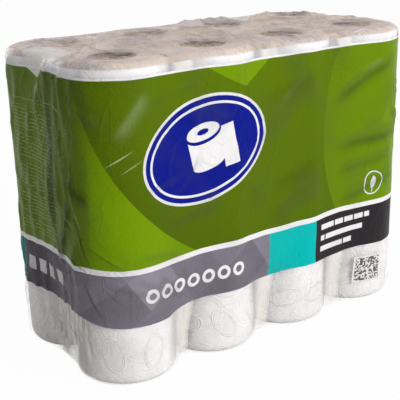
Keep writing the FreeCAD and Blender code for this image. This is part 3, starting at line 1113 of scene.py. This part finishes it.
    # Over each valley the collar is thicker and creamy, partly film and partly painted light over the lobes'
    # shaded flanks.
    bridged = past.over(-0.017, 0.008) * past.under(0.006, 0.006) * collar * (1 - on_end)
    wall_alpha = wall_alpha.most(foot_shade * 0.8).most(foot_shine * 0.8).most(flap * 0.9)
    # Painted light: the collar's near-white film is thicker on the ends, where the light is dim; it is partly
    # the film's own milkiness.
    wall_alpha = wall_alpha.most(collar * (0.24 + mottle * 0.2 + on_end * 0.3))
    wall_alpha = wall_alpha.most(bridged * (0.6 + mottle * 0.3))
    tint = graph.mix(collar * (1 - bridged) * (1 - flap), tint, settings.collar)
    clear = (wall_alpha + (lid_alpha - wall_alpha) * ends).most(0.015).least(0.92)
    opaque = (ink + paper * 0.9).least(1.0)
    relief = fine * 0.5 + glint * 0.3 + weld * 0.3 + edges * 0.4 + sharp * 0.5 + pleats * pinch * 0.8
    return graph.finish(
        Base_Color=graph.mix(opaque, tint, colours),
        Alpha=opaque + (1 - opaque) * clear,
        Roughness=0.30 + fine * 0.16,
        Specular_IOR_Level=0.03,
        Coat_Weight=0.05 + block * 0.14 + (1 - ink) * 0.33,
        Coat_Roughness=0.2,
        Normal=graph.bump(relief, 0.0006),
    )


# The rolls and cores.

# How finely a roll's grid is made.
ROLL_COLUMNS = 132
PAPER_WALL_ROWS = 34


def winding_profile(settings):
    """Half a winding's section as (radius, height): bore, end face, rim, wall, rim, end face."""
    outer = roll_box[1][0] - first_roll[0] - settings.slack
    rim = settings.rim_round
    inner = CORE_RADIUS + 0.0003
    turns = np.linspace(0, math.pi / 2, 7)[1:-1]
    face = np.linspace(inner, outer - rim, 14)
    rim_out = np.stack([outer - rim + rim * np.sin(turns), rim - rim * np.cos(turns)], axis=-1)
    sunk = 0.0006 * (face < outer - rim - 0.012)
    foot = np.concatenate([np.stack([face, sunk], axis=-1), rim_out])
    wall_heights = np.linspace(rim, ROLL_WIDTH - rim, PAPER_WALL_ROWS)
    wall = np.stack([np.full(PAPER_WALL_ROWS, outer), wall_heights], axis=-1)
    head = foot[::-1] * (1, -1) + (0, ROLL_WIDTH)
    bore = np.array([[inner, 0.004]])
    lower = np.array([[inner, ROLL_WIDTH - 0.004]])
    return np.concatenate([bore, foot, wall, head, lower])


def make_roll(node, settings, seed):
    """One winding: its section swept round, with a loose last sheet, soft dents and uneven turns."""
    low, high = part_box(node)
    centre = node_middle(node.replace("roll", "core"))
    profile = winding_profile(settings)
    turn = 2 * math.pi * np.arange(ROLL_COLUMNS) / ROLL_COLUMNS
    radius = profile[:, :1]
    height = profile[:, 1:]
    outer = profile[:, 0].max()
    on_wall = smooth(outer - settings.rim_round, outer, radius)
    draw = np.random.default_rng(seed)
    start = draw.uniform(0, 2 * math.pi)
    gone = np.mod(turn[None, :] - start, 2 * math.pi) / (2 * math.pi)
    tail = 0.0006 * gone * on_wall
    dents = 0.00035 * ripple(turn[None, :] * outer, height, 0.06, seed) * on_wall
    end = smooth(CORE_RADIUS, outer, radius) * (1 - on_wall)
    uneven = 0.0003 * ripple(radius * 3 + 0 * turn[None, :], radius * 2, 0.02, seed + 1) * end
    radius = radius + tail + np.minimum(dents, 0.0004) - 0.0004
    x = centre[0] + radius * np.cos(turn)[None, :]
    y = centre[1] + radius * np.sin(turn)[None, :]
    z = low[2] + height + uneven * np.where(height < ROLL_WIDTH / 2, 1, -1)
    z = np.clip(z, low[2], high[2])
    points = np.stack([x, y, z], axis=-1).reshape(-1, 3)
    rows = len(profile)
    quads = grid_faces(rows, ROLL_COLUMNS, True)
    walk = np.concatenate([[0], np.cumsum(np.linalg.norm(np.diff(profile, axis=0), axis=1))])
    begun = draw.uniform(0, 1)
    left = np.broadcast_to((begun + turn * outer)[None, :], (rows, ROLL_COLUMNS))
    right = left + 2 * math.pi * outer / ROLL_COLUMNS
    up = np.broadcast_to(walk[:, None], left.shape)
    side = np.broadcast_to(on_wall, left.shape)
    return mesh_object("wound_" + node, points, quads, grid_uvs(left, right, up), {"side": side})


def pressed_ovals(graph, along, up, cell, size, shift, squash):
    """Double oval lines, one in each square cell, each turned its own way."""
    a = along + shift
    b = up + shift * 0.6
    column = (a / cell).floor()
    row = (b / cell).floor()
    turn = graph.chance(graph.vector(column, row, cell * 100 + shift * 100)) * math.pi
    cosine = graph.maths("COSINE", turn)
    sine = graph.maths("SINE", turn)
    x = a - (column + 0.5) * cell
    y = b - (row + 0.5) * cell
    long = x * cosine + y * sine
    short = (y * cosine - x * sine) * squash
    reach = (long * long + short * short) ** 0.5
    outer = abs(reach - size).under(0.0006, 0.0010)
    inner = abs(reach - size * 0.84).under(0.0004, 0.0009)
    return outer.most(inner * 0.8)


def paper_material(settings):
    """Soft tissue: pressed ovals and fine dots on the wall, and the edges of the turns on the ends."""
    graph = Graph(bpy.data.materials.new("tissue"))
    along, up = graph.uv()
    side = graph.attribute("side")
    wave = graph.noise(graph.vector(along, up), 22.0, 1.0)
    a = along + (wave - 0.5) * 0.006
    b = up + (wave - 0.5) * 0.004
    lines = pressed_ovals(graph, a, b, 0.037, 0.0165, 0.0, 1.8)
    lines = lines.most(pressed_ovals(graph, a, b, 0.052, 0.0245, 0.017, 1.25) * 0.5)
    dots_x = along / 0.0017
    dots_y = up / 0.0017
    dots = distance_to(dots_x.past_whole(), dots_y.past_whole(), (0.5, 0.5)).under(0.28, 0.14)
    soft = graph.noise(graph.vector(along, up), 300.0, 3.0)
    puff = graph.noise(graph.vector(along, up), 60.0, 2.0)
    raised = side * (lines * 0.95 - dots * 0.10 + soft * 0.35 + puff * 1.2)
    turns = graph.noise(graph.vector(up * 900.0, along * 6.0), 1.0, 2.0)
    ends = (1 - side) * turns
    shaded = side * (0.16 - lines * 0.16 + (puff - 0.5) * 0.5).most(0.0) + ends * 0.9
    return graph.finish(
        Base_Color=graph.mix(shaded.least(1.0), settings.paper, settings.paper_shade),
        Roughness=0.92,
        Specular_IOR_Level=0.2,
        Normal=graph.bump(ends * 1.2 + raised, 0.0006),
    )


def board_material(settings):
    """Grey-brown board with short fibres and soft clouds."""
    graph = Graph(bpy.data.materials.new("core board"))
    place = graph.node("ShaderNodeTexCoord").outputs["Object"]
    fibres = graph.noise(place, 420.0, 4.0, 0.6)
    clouds = graph.noise(place, 60.0, 2.0)
    share = ((fibres - 0.5) * 1.6 + (clouds - 0.5) * 0.8 + 0.5).clamped()
    return graph.finish(
        Base_Color=graph.mix(share, settings.board, settings.board_dark),
        Roughness=0.85,
        Normal=graph.bump(fibres, 0.0002),
    )


def put_material(piece, material):
    """Gives every slot of a piece one material."""
    if not piece.data.materials:
        piece.data.materials.append(material)
    for number in range(len(piece.data.materials)):
        piece.data.materials[number] = material


def roll_places():
    """The name of each roll's place and a seed of its own, layer by layer."""
    for layer_number, layer in enumerate(LAYERS):
        for row_number, row in enumerate(ROWS):
            for column in range(1, COLUMNS + 1):
                yield f"{layer}_{row}_{column}", 100 * layer_number + 10 * row_number + column


class ROLLPACK_OT_film(bpy.types.Operator):
    """Builds the printed film round the rolls"""

    bl_idname = "roll_pack.film"
    bl_label = "Film"

    def execute(self, context):
        settings = context.scene.roll_pack_film
        piece = make_film(settings)
        put_material(piece, film_material(settings))
        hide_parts("film_wrap")
        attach(piece, "root")
        return {"FINISHED"}


class ROLLPACK_OT_rolls(bpy.types.Operator):
    """Builds the rolls of tissue"""

    bl_idname = "roll_pack.rolls"
    bl_label = "Rolls"

    def execute(self, context):
        settings = context.scene.roll_pack_rolls
        paper = paper_material(settings)
        for place, seed in roll_places():
            node = "roll_" + place
            piece = make_roll(node, settings, seed)
            put_material(piece, paper)
            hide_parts(node)
            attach(piece, "root")
        return {"FINISHED"}


class ROLLPACK_OT_cores(bpy.types.Operator):
    """Dresses the cardboard cores"""

    bl_idname = "roll_pack.cores"
    bl_label = "Cores"

    def execute(self, context):
        board = board_material(context.scene.roll_pack_rolls)
        for place, unused in roll_places():
            put_material(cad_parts["core_" + place], board)
        return {"FINISHED"}


def lamp(name, place, target, size, watts):
    """A soft square lamp that faces a place."""
    light = bpy.data.lights.new(name, "AREA")
    light.size = size
    light.energy = watts
    piece = bpy.data.objects.new(name, light)
    bpy.context.collection.objects.link(piece)
    back = np.array(place) - np.array(target)
    distance = float(np.linalg.norm(back))
    piece.location = place
    piece.rotation_euler = (math.acos(back[2] / distance), 0, math.atan2(back[1], back[0]) + math.pi / 2)


class ROLLPACK_OT_stage(bpy.types.Operator):
    """Sets up the floor, the lamps and the camera"""

    bl_idname = "roll_pack.stage"
    bl_label = "Stage"

    def execute(self, context):
        settings = context.scene.roll_pack_stage
        self.make_floor(settings)
        self.make_world(settings)
        middle = (0, 0, 0.14)
        lamp("key lamp", (0.35, -1.95, 1.0), middle, 1.0, 36)
        lamp("top lamp", (0.2, 0.2, 2.1), middle, 1.4, 11)
        lamp("back lamp", (-0.3, 1.9, 0.6), middle, 1.0, 10)
        self.make_camera(context.scene, settings)
        context.scene.view_settings.view_transform = "Standard"
        return {"FINISHED"}

    def make_floor(self, settings):
        """A wide round floor that the pack stands on."""
        rings = np.array([0.0, 0.3, 1.0, 3.0, 8.0])[:, None]
        turn = 2 * math.pi * np.arange(64)[None, :] / 64
        points = np.stack([rings * np.cos(turn), rings * np.sin(turn), 0 * rings * turn], axis=-1)
        piece = mesh_object("floor", points.reshape(-1, 3), grid_faces(5, 64, True))
        put_material(piece, self.floor_material(settings))

    def floor_material(self, settings):
        """A floor that looks white and still takes the pack's shadow."""
        graph = Graph(bpy.data.materials.new("floor"))
        matt = graph.node("ShaderNodeBsdfDiffuse", None, {"Color": (0.78, 0.78, 0.78, 1)})
        white = graph.node("ShaderNodeEmission", None, {"Color": (*settings.floor, 1), "Strength": 1.0})
        inputs = {0: graph.seen() * 0.97, 1: matt.outputs[0], 2: white.outputs[0]}
        mix = graph.node("ShaderNodeMixShader", None, inputs)
        graph.node("ShaderNodeOutputMaterial", None, {0: mix.outputs[0]})
        return graph.owner

    def make_world(self, settings):
        """A white background for what the camera and reflections see, and a soft light for the rest."""
        graph = Graph(bpy.data.worlds.new("studio"))
        lit = graph.node("ShaderNodeBackground", None, {"Strength": 0.41})
        white = graph.node("ShaderNodeBackground", None, {"Color": (*settings.floor, 1)})
        inputs = {0: graph.seen(), 1: lit.outputs[0], 2: white.outputs[0]}
        mix = graph.node("ShaderNodeMixShader", None, inputs)
        graph.node("ShaderNodeOutputWorld", None, {0: mix.outputs[0]})
        bpy.context.scene.world = graph.owner

    def make_camera(self, scene, settings):
        """A camera at the stated place, looking along its azimuth and elevation."""
        data = bpy.data.cameras.new("camera")
        data.lens = settings.lens
        data.sensor_width = 36
        data.clip_end = 50
        camera = bpy.data.objects.new("camera", data)
        scene.collection.objects.link(camera)
        camera.matrix_world = (
            Matrix.Translation(settings.place)
            @ Matrix.Rotation(-settings.azimuth, 4, "Z")
            @ Matrix.Rotation(math.pi / 2 - settings.elevation, 4, "X")
            @ Matrix.Rotation(settings.lean, 4, "Z")
        )
        scene.camera = camera


class ROLLPACK_PT_panel(bpy.types.Panel):
    """Lists the pack's operators"""

    bl_label = "Roll Pack"
    bl_space_type = "VIEW_3D"
    bl_region_type = "UI"
    bl_category = "Roll Pack"

    def draw(self, context):
        for operator in OPERATORS:
            self.layout.operator(operator.bl_idname)


OPERATORS = (ROLLPACK_OT_stage, ROLLPACK_OT_film, ROLLPACK_OT_rolls, ROLLPACK_OT_cores)


def register():
    """Registers the classes and hangs the settings on the scene."""
    for group in GROUPS.values():
        bpy.utils.register_class(group)
    for name, group in GROUPS.items():
        setattr(bpy.types.Scene, name, bpy.props.PointerProperty(type=group))
    for each in OPERATORS + (ROLLPACK_PT_panel,):
        bpy.utils.register_class(each)


def unregister():
    """Undoes register."""
    for each in reversed(OPERATORS + (ROLLPACK_PT_panel,)):
        bpy.utils.unregister_class(each)
    for name in GROUPS:
        delattr(bpy.types.Scene, name)
    for group in reversed(GROUPS.values()):
        bpy.utils.unregister_class(group)


def main():
    register()
    bpy.ops.roll_pack.stage()
    bpy.ops.roll_pack.film()
    bpy.ops.roll_pack.rolls()
    bpy.ops.roll_pack.cores()


if __name__ == "__main__":
    main()
